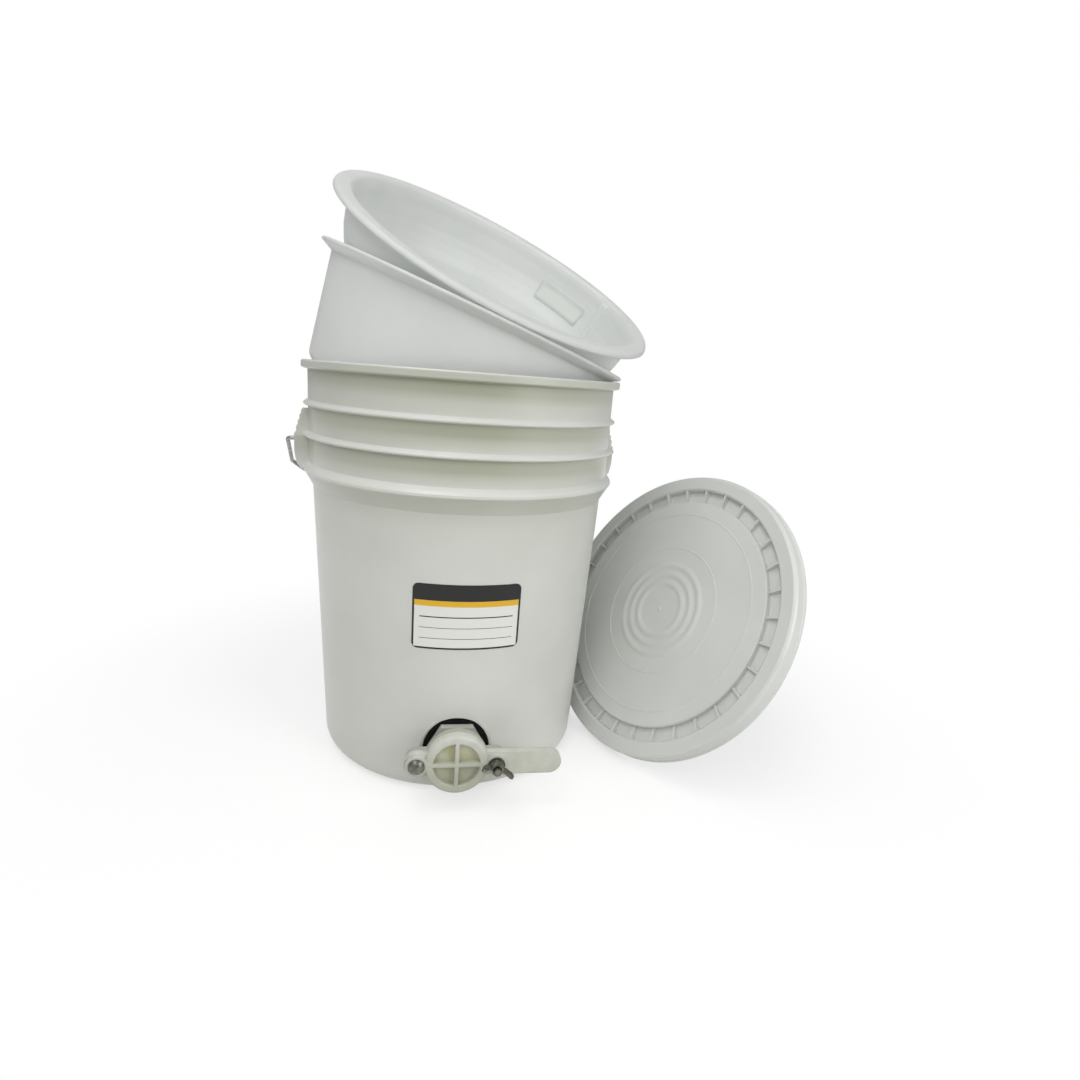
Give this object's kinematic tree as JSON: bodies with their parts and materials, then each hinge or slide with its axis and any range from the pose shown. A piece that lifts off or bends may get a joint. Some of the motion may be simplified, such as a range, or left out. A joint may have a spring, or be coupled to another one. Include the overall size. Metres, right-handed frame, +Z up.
{
  "type": "honey bucket with gate",
  "caption": "Plastic honey pail with wire bail, swinging gate closed by a wing nut low on the front, two nested strainers leaning in the mouth, lid standing beside it.",
  "frame": {"origin": "middle of the pail's base, on the floor", "axes": "+Z up along the pail, -Y the way the gate looks, +X to the right seen from the gate's side"},
  "size_m": [0.4755, 0.343, 0.5455],
  "materials": {
    "pail_plastic": "satin moulded polyethylene",
    "wire_steel": "galvanised wire",
    "grip_plastic": "moulded tube",
    "gate_plastic": "moulded nylon",
    "rubber_black": "matt",
    "bolt_steel": "stainless",
    "strainer_plastic": "natural moulded polyethylene",
    "strainer_cloth": "woven nylon"
  },
  "bodies": {
    "pail": {"bucket_shell": "pail_plastic", "gate_body": "gate_plastic", "gate_gasket": "rubber_black", "gate_locknut": "gate_plastic", "pivot_bolt": "bolt_steel", "pivot_nut": "bolt_steel", "clamp_bolt": "bolt_steel"},
    "bail": {"bail_wire": "wire_steel"},
    "grip": {"bail_grip": "grip_plastic"},
    "blade": {"gate_blade": "gate_plastic"},
    "washer": {"clamp_washer": "bolt_steel"},
    "wing": {"wing_nut": "bolt_steel"},
    "strainer": {"strainer_shell": "strainer_plastic", "strainer_mesh": "strainer_cloth", "strainer_mesh_ring": "strainer_plastic"},
    "upper_strainer": {"upper_strainer_shell": "strainer_plastic", "upper_strainer_mesh": "strainer_cloth", "upper_strainer_ring": "strainer_plastic"},
    "lid": {"lid_shell": "pail_plastic", "lid_gasket": "rubber_black"}
  },
  "joints": [
    {"name": "bail_swing", "type": "hinge", "parent": "pail", "child": "bail", "pos_m": [0, 0, 0.298], "axis": [0.9919, 0.1271, 0], "range_deg": [0, 54]},
    {"name": "grip_spin", "type": "hinge", "parent": "bail", "child": "grip", "pos_m": [-0.01978, 0.15444, 0.21084], "axis": [0.9919, 0.1271, 0], "continuous": true},
    {"name": "gate_swing", "type": "hinge", "parent": "pail", "child": "blade", "pos_m": [-0.0336, -0.152, 0.0464], "axis": [0, -1, 0], "range_deg": [0, 95]},
    {"name": "washer_slide", "type": "slide", "parent": "pail", "child": "washer", "axis": [0, -1, 0], "range_m": [0, 0.004]},
    {"name": "wing_turn", "type": "hinge", "parent": "washer", "child": "wing", "pos_m": [0.0336, -0.161, 0.0464], "axis": [0, -1, 0], "range_deg": [0, 1080]},
    {"name": "strainer_lift", "type": "slide", "parent": "pail", "child": "strainer", "axis": [0, 0, 1], "range_m": [0, 0.3]},
    {"name": "upper_strainer_lift", "type": "slide", "parent": "strainer", "child": "upper_strainer", "axis": [0.3403, -0.0754, 0.9373], "range_m": [0, 0.2]},
    {"name": "lid_away", "type": "slide", "parent": "pail", "child": "lid", "axis": [0.9212, 0.3891, 0], "range_m": [0, 0.15]}
  ],
  "couplings": [
    {"joint": "washer_slide", "follows": "wing_turn", "m_per_rad": 0.00020213}
  ]
}
